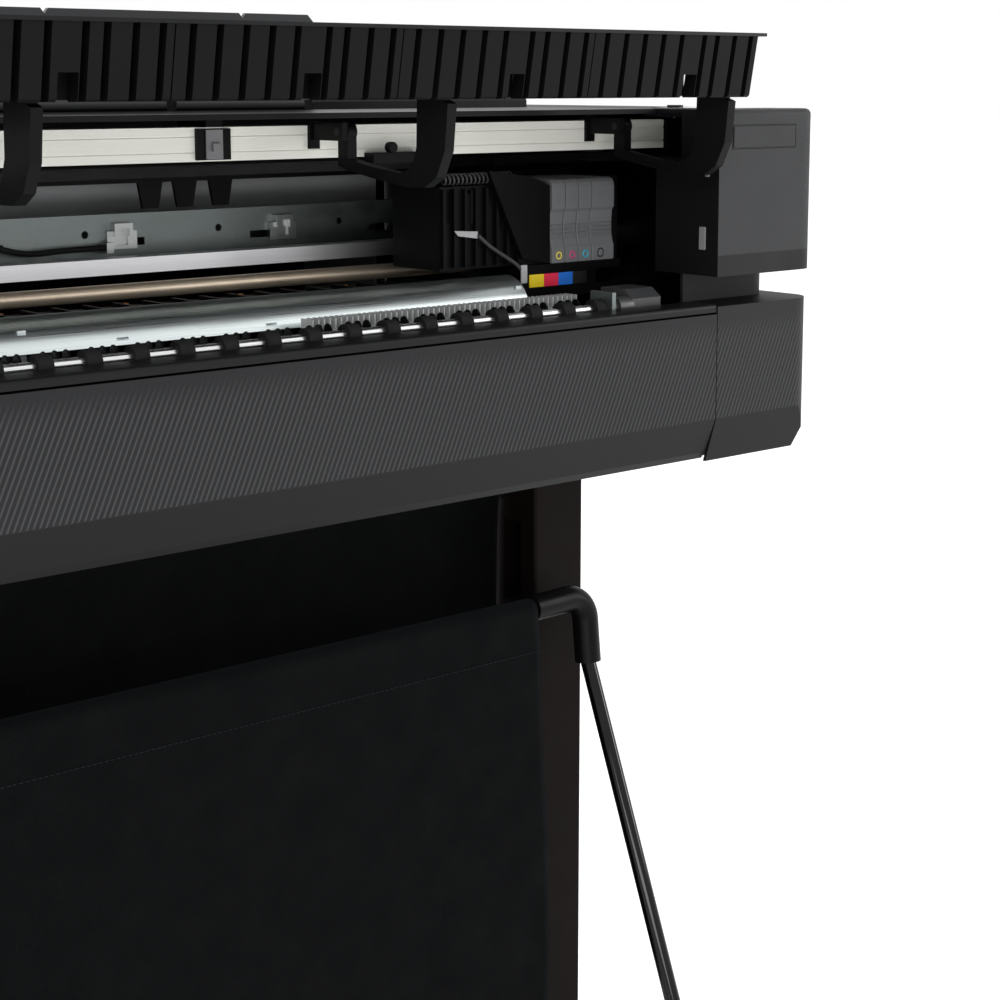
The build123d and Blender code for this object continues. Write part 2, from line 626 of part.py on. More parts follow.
def cartridge(x, width):
    """Ink cartridge with a rounded front, a stepped face and grip ribs."""
    body = block((x + 0.3, x + width - 0.3), (-104, -41), (806.2, 875))
    front_top = body.edges().filter_by(Axis.X).group_by(Axis.Y)[0].sort_by(Axis.Z)[-1]
    body = fillet(front_top, 4)
    body -= block((x + 1.5, x + width - 1.5), (-105, -103), (812, 850))
    for index in range(5):
        z = 822 + index * 4
        body += block((x + 2, x + width - 2), (-103.6, -102.9), (z, z + 1.6))
    return body


def spindle():
    """Spindle with a hub flange at each end."""
    shaft = rod_x(8, (-514, 445), *SPINDLE)
    for x in ((-503, -483), (408, 428)):
        shaft += rod_x(38, x, *SPINDLE)
    return shaft + rod_x(14, (-483, 408), *SPINDLE)


# ---- stand --------------------------------------------------------------------------------------
def stand_legs():
    """Upright posts of the stand, each with its slot."""
    legs = []
    for x in LEG_X:
        leg = block(x, LEG_Y, (FOOT_Z[1], BOTTOM))
        leg = fillet(leg.edges().filter_by(Axis.Z), 3)
        slot_x = (x[0] - 1, x[0] + 40) if x[0] > 0 else (x[1] - 40, x[1] + 1)
        legs.append(leg - block(slot_x, (-72, -50), (515, 585)))
    return group(legs)


def stand_base():
    """Two feet with sockets for the casters, and the beam between the legs."""
    feet = [block((LEG_X[0][1], LEG_X[1][0]), (-15, 25), (120, 180))]
    for x in LEG_X:
        foot = block(x, (-FOOT_DEPTH / 2, FOOT_DEPTH / 2), FOOT_Z)
        foot = fillet(foot.edges().filter_by(Axis.Z), 12)
        middle = sum(x) / 2
        for y in (-CASTER_Y, CASTER_Y):
            foot -= rod_z(5 + RUN, middle, y, (FOOT_Z[0] - 1, FOOT_Z[0] + 16))
        feet.append(foot)
    return group(feet)


def caster_fork(x, y, inward):
    """Swivel plate with two cheeks and the wheel's axle."""
    middle_y = y + inward * CASTER_TRAIL
    fork = rod_z(16, x, y, (41, FOOT_Z[0] - 0.2)) + rod_z(5, x, y, (FOOT_Z[0] - 1, FOOT_Z[0] + 15))
    for side in (-1, 1):
        cheek_x = sorted((x + side * 9.5, x + side * 12.5))
        cheek = block(cheek_x, (middle_y - 7, middle_y + 7), (13, 43))
        fork += cheek + block(cheek_x, sorted((y - inward * 6, middle_y)), (36, 43))
    return fork + rod_x(3, (x - 11, x + 11), middle_y, WHEEL_R)


def caster_wheel(x, y, inward):
    """One wheel at its axle."""
    middle_y = y + inward * CASTER_TRAIL
    wheel = rod_x(WHEEL_R, (x - 8.5, x + 8.5), middle_y, WHEEL_R)
    rims = wheel.edges().filter_by(GeomType.CIRCLE)
    wheel = fillet(rims, 3)
    return wheel - rod_x(3 + RUN, (x - 9, x + 9), middle_y, WHEEL_R)


# ---- media bin ----------------------------------------------------------------------------------
def bin_bars():
    """Front bar in the bin's hem, its curved sleeves, and the rear bar between the legs."""
    front = rod_x(8, (BIN_LEFT, BIN_RIGHT), *BIN_BAR)
    rear = rod_x(8, (LEG_X[0][1], LEG_X[1][0]), *BIN_REAR)
    return group([front, rear] + bin_elbows())


def rod_centre_x(side):
    """Plane of a side rod, in the middle of its leg."""
    return sum(LEG_X[1 if side > 0 else 0]) / 2


def bin_elbows():
    """Curved sleeves between the front bar and the side rods."""
    elbows = []
    for side, end in ((-1, BIN_LEFT), (1, BIN_RIGHT)):
        x = rod_centre_x(side)
        path = FilletPolyline((end, *BIN_BAR), (x, ELBOW_KNEE_Y, BIN_BAR[1]), (x, *ROD_TOP), radius=20)
        elbows.append(sweep(Plane(origin=path @ 0, z_dir=path % 0) * Circle(11), path=path))
    return elbows


def bin_rods():
    """Straight glossy rods from the elbows down to the toes of the feet."""
    rods = []
    for side in (-1, 1):
        x = rod_centre_x(side)
        path = Line((x, ROD_TOP[0], ROD_TOP[1]), (x, ROD_TOE[0], ROD_TOE[1]))
        rod = sweep(Plane(origin=path @ 0, z_dir=path % 0) * Circle(6.5), path=path)
        sleeve_end = Plane(origin=(x, *ROD_TOP), z_dir=(0, ROD_TOP[0] - ELBOW_KNEE_Y,
                                                        ROD_TOP[1] - BIN_BAR[1]))
        rod = split(rod, bisect_by=sleeve_end, keep=Keep.TOP)
        rods.append(rod - block((x - 30, x + 30), (-320, 0), (40, FOOT_Z[1])))
    return group(rods)


def bin_fabric():
    """Sling of the bin as a plain closed sheet: front panel, rounded bottom, back panel."""
    outer = [(-136, 516), (-141, 440), (-148, 330), (-150, 200), (-136, 158), (-100, 142), (-62, 152),
             (-41, 188),
             (-36, 300), (-38, 616.5)]
    inner = [(-42, 616.5), (-40, 300), (-45, 190), (-64, 156), (-99, 146), (-133, 161), (-146, 201),
             (-144, 330), (-137, 440), (-114, 516)]
    outline = outer + inner
    return prism(outline, (BIN_LEFT + 4, BIN_RIGHT - 1)) - rod_x(8.3, (BIN_LEFT, BIN_RIGHT), *BIN_BAR)


# ---- every node ---------------------------------------------------------------------------------
def caster_nodes():
    """Fork and wheel nodes of the four casters."""
    corners = {"front_left": (0, -1), "front_right": (1, -1), "rear_left": (0, 1), "rear_right": (1, 1)}
    nodes = {}
    for name, (leg, end) in corners.items():
        place = (sum(LEG_X[leg]) / 2, end * CASTER_Y, -end)
        nodes["caster_fork_" + name] = caster_fork(*place)
        nodes["caster_wheel_" + name] = caster_wheel(*place)
    return nodes


def all_nodes():
    """Every node name with its shape."""
    nodes = {
        "front_panel": front_panel(), "front_trim_strip": front_trim_strip(),
        "right_base_cover": base_cover(1), "left_base_cover": base_cover(-1),
        "right_end_block": right_end_block(), "left_end_block": left_end_block(),
        "roof_front": roof_front(), "rear_cover": rear_cover(), "cover_screws": cover_screws(),
        "rear_sockets": rear_sockets(), "touch_screen": touch_screen(), "power_button": power_button(),
        "chassis": chassis(), "steel_beam": steel_beam(),
        "beam_clips": beam_clips(), "upper_rail": upper_rail(), "hinge_brackets": hinge_brackets(),
        "hinge_pins": hinge_pins(), "guide_bar": guide_bar(),
        "platen": platen(), "platen_rail": platen_rail(), "pinch_springs": pinch_springs(),
        "output_comb": output_comb(), "drive_motors": drive_motors(), "drive_belts": drive_belts(),
        "encoder_strip": encoder_strip(), "service_station": service_station(),
        "roll_bay": roll_bay(), "lead": lead(),
        "lid_skin": lid_skin(), "lid_ribs": lid_ribs(), "lid_arms": lid_arms(),
        "roll_cover": roll_cover(), "sheet_tray": sheet_tray(),
        "output_shaft": output_shaft(), "output_rollers": output_rollers(), "feed_roller": feed_roller(),
        "idler_pulley": belt_pulley(PULLEY_X[0]), "drive_pulley": belt_pulley(PULLEY_X[1]),
        "carriage_frame": carriage_frame(), "carriage_cover": carriage_cover(), "colour_key": colour_key(),
        "spindle": spindle(),
        "stand_legs": stand_legs(), "stand_base": stand_base(),
        "bin_bars": bin_bars(), "bin_rods": bin_rods(), "bin_fabric": bin_fabric(),
    }
    for name, x, width in CARTRIDGES:
        nodes["cartridge_" + name] = cartridge(x, width)
    nodes.update(caster_nodes())
    return nodes


os.makedirs("parts", exist_ok=True)
for node_name, shape in all_nodes().items():
    export_step(shape, "parts/" + node_name + ".step")
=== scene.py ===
"""Large format plotter: camera, lights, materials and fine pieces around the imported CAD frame."""
import json
import math

import bpy
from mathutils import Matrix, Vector, noise


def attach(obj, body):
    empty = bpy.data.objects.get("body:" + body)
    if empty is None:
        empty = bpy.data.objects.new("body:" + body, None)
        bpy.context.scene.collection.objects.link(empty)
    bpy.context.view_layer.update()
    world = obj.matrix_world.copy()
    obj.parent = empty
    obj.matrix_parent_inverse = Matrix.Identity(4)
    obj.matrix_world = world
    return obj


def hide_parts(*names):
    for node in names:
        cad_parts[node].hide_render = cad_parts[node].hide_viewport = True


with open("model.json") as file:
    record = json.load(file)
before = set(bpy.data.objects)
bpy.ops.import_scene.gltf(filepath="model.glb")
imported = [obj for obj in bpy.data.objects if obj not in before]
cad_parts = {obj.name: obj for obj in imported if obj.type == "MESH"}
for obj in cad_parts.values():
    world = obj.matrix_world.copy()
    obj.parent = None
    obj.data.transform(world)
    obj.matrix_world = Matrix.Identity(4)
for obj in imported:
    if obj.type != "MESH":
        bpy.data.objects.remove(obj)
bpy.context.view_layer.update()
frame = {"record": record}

MM = 0.001


# ---- camera and light ---------------------------------------------------------------------------
def make_camera():
    """Camera of the reference view: front left, near the lid's height, looking down a little."""
    position = Vector((-0.610, -1.2785, 0.9534))
    yaw, pitch = math.radians(40.86), math.radians(8.72)
    direction = Vector((math.sin(yaw) * math.cos(pitch), math.cos(yaw) * math.cos(pitch), -math.sin(pitch)))
    data = bpy.data.cameras.new("camera")
    data.sensor_width = 36.0
    data.lens = 69.9
    data.shift_y = -0.12
    camera = bpy.data.objects.new("camera", data)
    camera.location = position
    camera.rotation_euler = direction.to_track_quat("-Z", "Y").to_euler()
    bpy.context.collection.objects.link(camera)
    bpy.context.scene.camera = camera


def add_area(name, position, target, size, power):
    """Rectangular soft box at a position in metres, turned towards its target."""
    data = bpy.data.lights.new(name, "AREA")
    data.shape = "RECTANGLE"
    data.size, data.size_y = size
    data.energy = power
    light = bpy.data.objects.new(name, data)
    light.location = position
    light.rotation_euler = (Vector(target) - Vector(position)).to_track_quat("-Z", "Y").to_euler()
    bpy.context.collection.objects.link(light)


def make_studio():
    """White surroundings, a pale floor and soft boxes."""
    world = bpy.data.worlds.new("studio")
    world.use_nodes = True
    background = world.node_tree.nodes["Background"]
    background.inputs["Color"].default_value = (1.0, 1.0, 1.0, 1.0)
    background.inputs["Strength"].default_value = 1.0
    bpy.context.scene.world = world
    bpy.context.scene.view_settings.view_transform = "Standard"
    add_area("key", (-1.9, -2.4, 2.4), (0.1, 0.0, 0.7), (1.4, 1.0), 34)
    add_area("side", (2.8, -1.8, 1.5), (0.4, 0.0, 0.6), (0.5, 1.8), 26)
    add_area("back", (0.6, 2.6, 2.4), (0.0, 0.0, 0.8), (2.4, 1.2), 18)
    add_area("throat", (-0.7, -1.5, 0.55), (0.0, -0.05, 0.83), (1.2, 0.25), 7)
    add_area("sky", (0.0, 0.0, 6.0), (0.0, 0.0, 0.0), (9.0, 9.0), 30)
    floor_mesh = bpy.data.meshes.new("floor")
    reach = 40.0
    corners = [(-reach, -reach, 0), (reach, -reach, 0), (reach, reach, 0), (-reach, reach, 0)]
    floor_mesh.from_pydata(corners, [], [(0, 1, 2, 3)])
    floor = bpy.data.objects.new("floor", floor_mesh)
    bpy.context.collection.objects.link(floor)
    shader = Shader("floor", (0.9, 0.9, 0.9), 0.8, Emission_Color=(1.0, 1.0, 1.0, 1.0), Emission_Strength=0.3)
    floor.data.materials.append(shader.material)


# ---- material kit -------------------------------------------------------------------------------
class Shader:
    """Principled material with short calls for noise, blends, bump and masks in object space."""

    def __init__(self, name, colour, roughness, **sockets):
        """Principled material with its colour, roughness and any further sockets."""
        self.material = bpy.data.materials.new(name)
        self.material.use_nodes = True
        self.tree = self.material.node_tree
        self.surface = self.tree.nodes["Principled BSDF"]
        self.surface.inputs["Base Color"].default_value = (*colour, 1.0)
        self.surface.inputs["Roughness"].default_value = roughness
        for socket, value in sockets.items():
            self.surface.inputs[socket.replace("_", " ")].default_value = value
        self.place = self.add("ShaderNodeTexCoord").outputs["Object"]
        self.normal = None

    def add(self, kind, **settings):
        """New node with its settings."""
        new = self.tree.nodes.new(kind)
        for key, value in settings.items():
            setattr(new, key, value)
        return new

    def feed(self, socket, value):
        """Links an output, or sets a constant."""
        if isinstance(value, bpy.types.NodeSocket):
            self.tree.links.new(value, socket)
        else:
            socket.default_value = value

    def stretched(self, scale, turn=(0.0, 0.0, 0.0)):
        """Object coordinates, scaled and turned."""
        mapping = self.add("ShaderNodeMapping")
        self.feed(mapping.inputs["Vector"], self.place)
        mapping.inputs["Scale"].default_value = scale
        mapping.inputs["Rotation"].default_value = turn
        return mapping.outputs["Vector"]

    def noise(self, scale, detail=3.0, stretch=(1.0, 1.0, 1.0), roughness=0.5):
        """Noise in object space."""
        texture = self.add("ShaderNodeTexNoise")
        self.feed(texture.inputs["Vector"], self.stretched(stretch))
        texture.inputs["Scale"].default_value = scale
        texture.inputs["Detail"].default_value = detail
        texture.inputs["Roughness"].default_value = roughness
        return texture.outputs["Fac"]

    def cells(self, scale, stretch=(1.0, 1.0, 1.0), output="Distance", feature="F1"):
        """Cell pattern in object space."""
        texture = self.add("ShaderNodeTexVoronoi", feature=feature)
        self.feed(texture.inputs["Vector"], self.stretched(stretch))
        texture.inputs["Scale"].default_value = scale
        return texture.outputs[output]

    def math(self, operation, first, second=0.0, third=0.0, clamp=False):
        """Math node of up to three values."""
        new = self.add("ShaderNodeMath", operation=operation, use_clamp=clamp)
        for socket, value in zip(new.inputs, (first, second, third)):
            self.feed(socket, value)
        return new.outputs[0]

    def axis(self, name, source=None):
        """One component of a vector, by default of the object coordinates."""
        split = self.add("ShaderNodeSeparateXYZ")
        self.feed(split.inputs[0], source or self.place)
        return split.outputs[name]

    def ramp(self, value, start, end, low=0.0, high=1.0, smooth=True):
        """Maps a value from one range to another."""
        new = self.add("ShaderNodeMapRange", interpolation_type="SMOOTHSTEP" if smooth else "LINEAR")
        self.feed(new.inputs["Value"], value)
        for socket, number in zip(("From Min", "From Max", "To Min", "To Max"), (start, end, low, high)):
            new.inputs[socket].default_value = number
        return new.outputs["Result"]

    def blend(self, factor, low, high):
        """Mix of two colours."""
        new = self.add("ShaderNodeMix", data_type="RGBA")
        self.feed(new.inputs["Factor"], factor)
        for socket, value in ((new.inputs[6], low), (new.inputs[7], high)):
            self.feed(socket, value if isinstance(value, bpy.types.NodeSocket) else (*value, 1.0))
        return new.outputs[2]

    def colour(self, factor, low, high):
        """Feeds the base colour with a mix of two colours."""
        result = self.blend(factor, low, high)
        self.feed(self.surface.inputs["Base Color"], result)
        return result

    def rough(self, factor, low, high):
        """Feeds the roughness with a slow change of gloss."""
        self.feed(self.surface.inputs["Roughness"], self.ramp(factor, 0.25, 0.75, low, high, smooth=False))

    def bump(self, height, strength, distance):
        """Adds a bump on top of the earlier ones."""
        new = self.add("ShaderNodeBump")
        self.feed(new.inputs["Height"], height)
        new.inputs["Strength"].default_value = strength
        new.inputs["Distance"].default_value = distance
        if self.normal is not None:
            self.feed(new.inputs["Normal"], self.normal)
        self.normal = new.outputs["Normal"]
        self.feed(self.surface.inputs["Normal"], self.normal)


def moulded(name, colour, roughness, grain=0.15, grain_scale=900.0, spread=0.25, **sockets):
    """Moulded plastic: fine spark-eroded grain, faint patches of tone and gloss."""
    shader = Shader(name, colour, roughness, **{"Specular_IOR_Level": 0.16, **sockets})
    patches = shader.noise(9.0, 2.0)
    low = tuple(value * (1.0 - spread) for value in colour)
    high = tuple(value * (1.0 + spread) for value in colour)
    shader.colour(patches, low, high)
    shader.rough(shader.noise(40.0, 3.0), roughness - 0.05, roughness + 0.06)
    shader.bump(shader.noise(grain_scale, 2.0), grain, 0.0002)
    return shader


def diagonal_relief(side):
    """Front panel plastic with fine diagonal ridges that fade out near the top edge; the ridge crests carry a
    painted highlight, and the lower chamfer and the upward faces carry painted shade.
    """
    shader = Shader("panel_relief_" + ("left" if side < 0 else "right"), (0.03, 0.031, 0.033), 0.5,
                    Specular_IOR_Level=0.14)
    pitch, lean = 0.004, math.radians(66)
    along = shader.math("MULTIPLY_ADD", shader.axis("Y"), side, shader.axis("X"))
    upward = shader.math("MULTIPLY", shader.axis("Z"), -math.cos(lean))
    across = shader.math("MULTIPLY_ADD", along, math.sin(lean), upward)
    wave = shader.math("SINE", shader.math("MULTIPLY", across, 2 * math.pi / pitch))
    ridge = shader.ramp(wave, 0.0, 1.0)
    height = shader.axis("Z")
    top_fade = shader.ramp(height, 0.767, 0.745)
    foot_fade = shader.ramp(height, 0.6836, 0.6848)
    slope_trace = shader.ramp(height, 0.66, 0.684, 0.0, 0.07)
    wall_mask = shader.math("MULTIPLY", top_fade, foot_fade)
    mask = shader.math("MAXIMUM", wall_mask, shader.math("MULTIPLY", top_fade, slope_trace))
    facing = shader.add("ShaderNodeNewGeometry").outputs["Normal"]
    sideways = shader.ramp(shader.axis("Y", facing), 0.3, 0.6, 1.0, 0.0)
    upright = shader.ramp(shader.math("ABSOLUTE", shader.axis("Z", facing)), 0.5, 0.8, 1.0, 0.0)
    outer_walls = shader.math("MULTIPLY", mask, shader.math("MULTIPLY", sideways, upright))
    relief = shader.math("MULTIPLY", ridge, outer_walls)
    patches = shader.noise(7.0, 2.0)
    plain = shader.blend(patches, (0.0095, 0.0098, 0.0107), (0.0132, 0.0135, 0.0145))
    # Painted shade: below 683.5 mm the panel's slanted chamfer is coloured darker.
    chamfer_shade = shader.ramp(height, 0.684, 0.6835)
    plain = shader.blend(chamfer_shade, plain, (0.005, 0.0051, 0.0055))
    # Painted shade: faces that point upward are coloured darker.
    painted_top_shade = shader.ramp(shader.axis("Z", facing), 0.5, 0.8)
    plain = shader.blend(painted_top_shade, plain, (0.003, 0.003, 0.0034))
    # Painted highlight: the ridge crests on the forward walls are coloured lighter than the plain plastic.
    shader.colour(relief, plain, (0.036, 0.0365, 0.038))
    shader.bump(relief, 0.6, 0.0006)
    shader.bump(shader.noise(1100.0, 2.0), 0.12, 0.0002)
    return shader


def speckled(name, side):
    """Housing plastic with a fine salt-and-pepper grain, a darker lower band, and inner surfaces painted
    black as shade.
    """
    shader = Shader(name, (0.05, 0.051, 0.053), 0.5, Specular_IOR_Level=0.14)
    specks = shader.noise(1500.0, 1.0)
    tone = shader.blend(shader.ramp(specks, 0.35, 0.65), (0.013, 0.0133, 0.014), (0.04, 0.041, 0.043))
    band = shader.ramp(shader.axis("Z"), 0.8155, 0.8165)
    tone = shader.blend(band, (0.0095, 0.0098, 0.0103), tone)
    normal = shader.add("ShaderNodeNewGeometry").outputs["Normal"]
    outward = shader.add("ShaderNodeVectorMath", operation="SUBTRACT")
    shader.feed(outward.inputs[0], shader.place)
    outward.inputs[1].default_value = (0.597 * side, 0.0, 0.865)
    facing = shader.add("ShaderNodeVectorMath", operation="DOT_PRODUCT")
    shader.feed(facing.inputs[0], outward.outputs[0])
    shader.feed(facing.inputs[1], normal)
    # Painted shade: faces turned towards the block's inside and its inner side walls are coloured black.
    inward_face_shade = shader.ramp(facing.outputs["Value"], 0.0005, -0.0005)
    inner_wall_shade = shader.ramp(shader.math("MULTIPLY", shader.axis("X", normal), side), -0.4, -0.6)
    black = shader.math("MAXIMUM", inward_face_shade, inner_wall_shade)
    shader.feed(shader.surface.inputs["Base Color"], shader.blend(black, tone, (0.0035, 0.0035, 0.004)))
    shader.rough(shader.noise(30.0, 3.0), 0.46, 0.56)
    shader.bump(specks, 0.25, 0.0003)
    return shader


def galvanised(name, painted_shade_ends):
    """Zinc coated sheet: faint crystals and streaks along the rolling direction; on request, painted shade
    turns the ends past 499 mm from the middle black.
    """
    shader = Shader(name, (0.33, 0.36, 0.35), 0.4, Metallic=0.85)
    crystals = shader.cells(70.0, output="Color")
    streaks = shader.noise(25.0, 4.0, (0.15, 4.0, 4.0))
    streaked = shader.math("MULTIPLY", streaks, 0.65)
    tone = shader.math("MULTIPLY_ADD", shader.axis("X", crystals), 0.35, streaked)
    zinc = shader.colour(tone, (0.13, 0.155, 0.152), (0.24, 0.265, 0.258))
    if painted_shade_ends:
        # Painted shade: the zinc past 499 mm from the middle, inside the end housings, is coloured black.
        end = shader.ramp(shader.math("ABSOLUTE", shader.axis("X")), 0.499, 0.501)
        shader.colour(end, zinc, (0.004, 0.004, 0.0045))
    shader.rough(tone, 0.34, 0.5)
    shader.bump(shader.noise(400.0, 2.0), 0.08, 0.0002)
    return shader


def bright_metal(name, colour, roughness, streak=(0.05, 6.0, 6.0)):
    """Drawn or polished metal: fine lines along X and a slight change of gloss."""
    shader = Shader(name, colour, roughness, Metallic=1.0)
    lines = shader.noise(300.0, 4.0, streak)
    shader.colour(lines, tuple(v * 0.8 for v in colour), tuple(min(1.0, v * 1.1) for v in colour))
    shader.rough(lines, max(0.03, roughness - 0.06), roughness + 0.08)
    shader.bump(lines, 0.05, 0.0002)
    return shader


def coated(name, colour, roughness, peel=0.12, metal=0.0, **sockets):
    """Powder or wet coat with orange peel and slightly dusty patches."""
    shader = Shader(name, colour, roughness, **{"Metallic": metal, "Specular_IOR_Level": 0.25, **sockets})
    shader.colour(shader.noise(12.0, 3.0), tuple(v * 0.8 for v in colour), tuple(v * 1.2 for v in colour))
    shader.rough(shader.noise(60.0, 2.0), roughness - 0.05, roughness + 0.07)
    shader.bump(shader.noise(700.0, 2.0), peel, 0.0003)
    return shader


def cream_extrusion():
    """Coated rail: fine drawn lines along X and dusty streaks."""
    shader = Shader("cream_paint", (0.7, 0.69, 0.63), 0.4)
    lines = shader.noise(220.0, 4.0, (0.02, 1.0, 8.0))
    smudges = shader.noise(14.0, 4.0)
    tone = shader.math("MULTIPLY_ADD", lines, 0.6, shader.math("MULTIPLY", smudges, 0.4))
    shader.colour(tone, (0.62, 0.62, 0.57), (0.85, 0.845, 0.78))
    shader.rough(smudges, 0.32, 0.5)
    shader.bump(lines, 0.2, 0.0004)
    return shader


def rubber(name, colour, roughness=0.75):
    """Matt rubber with dusty patches and a fine skin."""
    shader = Shader(name, colour, roughness, Specular_IOR_Level=0.2)
    shader.colour(shader.noise(60.0, 4.0), tuple(v * 0.7 for v in colour), tuple(v * 1.4 for v in colour))
    shader.rough(shader.noise(150.0, 3.0), roughness - 0.1, roughness + 0.1)
    shader.bump(shader.noise(1300.0, 2.0), 0.3, 0.0003)
    return shader


def grit_roller():
    """Feed roller: bronze tinted ceramic grit, banded where paper has run."""
    shader = Shader("copper_roller", (0.5, 0.38, 0.27), 0.38, Metallic=0.8)
    bands = shader.noise(9.0, 2.0, (1.0, 0.0, 0.0))
    grit = shader.noise(2200.0, 1.0)
    shader.colour(bands, (0.72, 0.58, 0.44), (1.0, 0.86, 0.68))
    shader.rough(grit, 0.28, 0.5)
    shader.bump(grit, 0.35, 0.0002)
    return shader


def woven_fabric():
    """Black polyester twill: fine steep diagonal ribs, fibre noise and a grey-blue sheen."""
    shader = Shader("bin_fabric", (0.004, 0.005, 0.006), 0.85, Sheen_Weight=0.02, Sheen_Roughness=0.4,
                    Sheen_Tint=(0.5, 0.55, 0.62, 1.0), Specular_IOR_Level=0.05)
    pitch = 0.0013
    depth = shader.math("MULTIPLY", shader.axis("Y"), 0.75)
    rise = shader.math("MULTIPLY_ADD", shader.axis("Z"), 0.75, depth)
    across = shader.math("ADD", shader.axis("X"), rise)
    twill = shader.math("SINE", shader.math("MULTIPLY", across, 2 * math.pi / pitch))
    yarn = shader.math("SINE", shader.math("MULTIPLY", shader.axis("X"), 2 * math.pi / (pitch * 0.9)))
    weave = shader.math("MULTIPLY_ADD", yarn, 0.35, twill)
    lift = shader.math("MULTIPLY_ADD", shader.noise(800.0, 2.0), 0.8, weave)
    shader.colour(shader.ramp(lift, -1.0, 1.8), (0.0004, 0.0005, 0.0006), (0.0024, 0.0027, 0.0031))
    shader.rough(shader.noise(35.0, 3.0), 0.7, 0.9)
    shader.bump(lift, 0.5, 0.0003)
    return shader


def clear_comb():
    """Frosted translucent plastic with moulding haze."""
    shader = Shader("grey_plastic", (0.42, 0.43, 0.43), 0.35, Transmission_Weight=0.15)
    comb = shader.blend(shader.noise(50.0, 3.0), (0.3, 0.31, 0.31), (0.5, 0.51, 0.51))
    shader.colour(shader.ramp(shader.axis("X"), 0.449, 0.451), comb, (0.05, 0.051, 0.053))
    shader.rough(shader.noise(80.0, 3.0), 0.28, 0.45)
    shader.bump(shader.noise(900.0, 2.0), 0.1, 0.0002)
    return shader


def dark_glass():
    """Black glass with finger marks."""
    shader = Shader("screen_glass", (0.008, 0.009, 0.011), 0.06, Coat_Weight=0.6)
    smudges = shader.noise(18.0, 5.0)
    shader.colour(smudges, (0.006, 0.007, 0.009), (0.014, 0.015, 0.018))
    shader.rough(smudges, 0.04, 0.14)
    return shader


def marked_film():
    """Clear film with fine upright marks."""
    shader = Shader("clear_strip", (0.05, 0.05, 0.05), 0.15, Alpha=0.5, Specular_IOR_Level=0.1)
    marks = shader.math("SINE", shader.math("MULTIPLY", shader.axis("X"), 2 * math.pi / 0.0012))
    shader.colour(shader.ramp(marks, -0.2, 0.2), (0.004, 0.004, 0.004), (0.03, 0.03, 0.03))
    shader.rough(shader.noise(50.0), 0.1, 0.25)
    return shader


def coloured_tiles():
    """Glossy printed fields whose colour changes from tile to tile along X."""
    shader = Shader("key_tiles", (0.8, 0.6, 0.05), 0.3)
    across = shader.axis("X")
    tone = (0.86, 0.64, 0.01)
    steps = ((0.4527, (0.78, 0.02, 0.07)), (0.4687, (0.01, 0.16, 0.66)), (0.4847, (0.008, 0.008, 0.009)))
    for edge, colour in steps:
        tone = shader.blend(shader.ramp(across, edge - 0.0001, edge + 0.0001), tone, colour)
    shader.feed(shader.surface.inputs["Base Color"], tone)
    shader.rough(shader.noise(60.0, 3.0), 0.25, 0.4)
    shader.bump(shader.noise(900.0, 2.0), 0.06, 0.0002)
    return shader


def ink_ring(name, colour):
    """Printed coloured ring on a cartridge."""
    return moulded(name, colour, 0.35, grain=0.05, spread=0.1, Specular_IOR_Level=0.4)


def make_materials():
    """One shader per material slot of the record."""
    shaders = {
        "charcoal_texture": diagonal_relief(1), "charcoal_speckle": speckled("charcoal_speckle", 1),
        "charcoal_satin": moulded("charcoal_satin", (0.006, 0.0062, 0.0067), 0.38, Specular_IOR_Level=0.14),
        "black_plastic": moulded("black_plastic", (0.003, 0.003, 0.0034), 0.42, grain=0.2,
                                 Specular_IOR_Level=0.08),
        "black_gloss": moulded("black_gloss", (0.002, 0.002, 0.0023), 0.07, grain=0.02,
                               Specular_IOR_Level=0.25),
        "satin_black": moulded("satin_black", (0.002, 0.0021, 0.0023), 0.32, grain=0.18,
                               Specular_IOR_Level=0.08),
        "screen_glass": dark_glass(), "zinc_steel": galvanised("zinc_steel", False),
        "bright_steel": bright_metal("bright_steel", (0.8, 0.81, 0.81), 0.24),
        "cream_paint": cream_extrusion(),
        # Grey paint: its own grey, lifted lighter as painted light on the shaded roll bay wall.
        "grey_paint": coated("grey_paint", (0.26, 0.265, 0.27), 0.5),
        "copper_spring": bright_metal("copper_spring", (0.85, 0.42, 0.12), 0.3, (1.0, 1.0, 1.0)),
        "copper_roller": grit_roller(), "grey_plastic": clear_comb(),
        "black_metal": coated("black_metal", (0.008, 0.008, 0.0085), 0.45),
        "black_rubber": rubber("black_rubber", (0.007, 0.007, 0.0075)),
        "clear_strip": marked_film(), "key_tiles": coloured_tiles(),
        "brown_black_paint": coated("brown_black_paint", (0.0042, 0.0022, 0.0021), 0.5, peel=0.2,
                                    Specular_IOR_Level=0.05),
        "bin_fabric": woven_fabric(),
        "cartridge_grey": moulded("cartridge_grey", (0.15, 0.153, 0.158), 0.42, grain=0.2),
        "wheel_grey": rubber("wheel_grey", (0.03, 0.03, 0.032), 0.6),
    }
    return shaders


# ---- mesh kit -----------------------------------------------------------------------------------
def mesh_piece(name, vertices, faces, shader, body, slot, smooth=True):
    """New mesh piece in place, with its material and body; the slot argument is not used."""
    mesh = bpy.data.meshes.new(name)
    mesh.from_pydata([tuple(MM * value for value in vertex) for vertex in vertices], [], faces)
    if smooth:
        mesh.shade_smooth()
    piece = bpy.data.objects.new(name, mesh)
    piece.data.materials.append(shader.material)
    bpy.context.collection.objects.link(piece)
    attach(piece, body)
    return piece


def bevelled(piece, width, segments=2):
    """Rounds a piece's edges, width in millimetres, and keeps its flat faces flat."""
    modifier = piece.modifiers.new("bevel", "BEVEL")
    modifier.width = width * MM
    modifier.segments = segments
    modifier.limit_method = "ANGLE"
    modifier.angle_limit = math.radians(40)
    modifier.harden_normals = True
    return piece


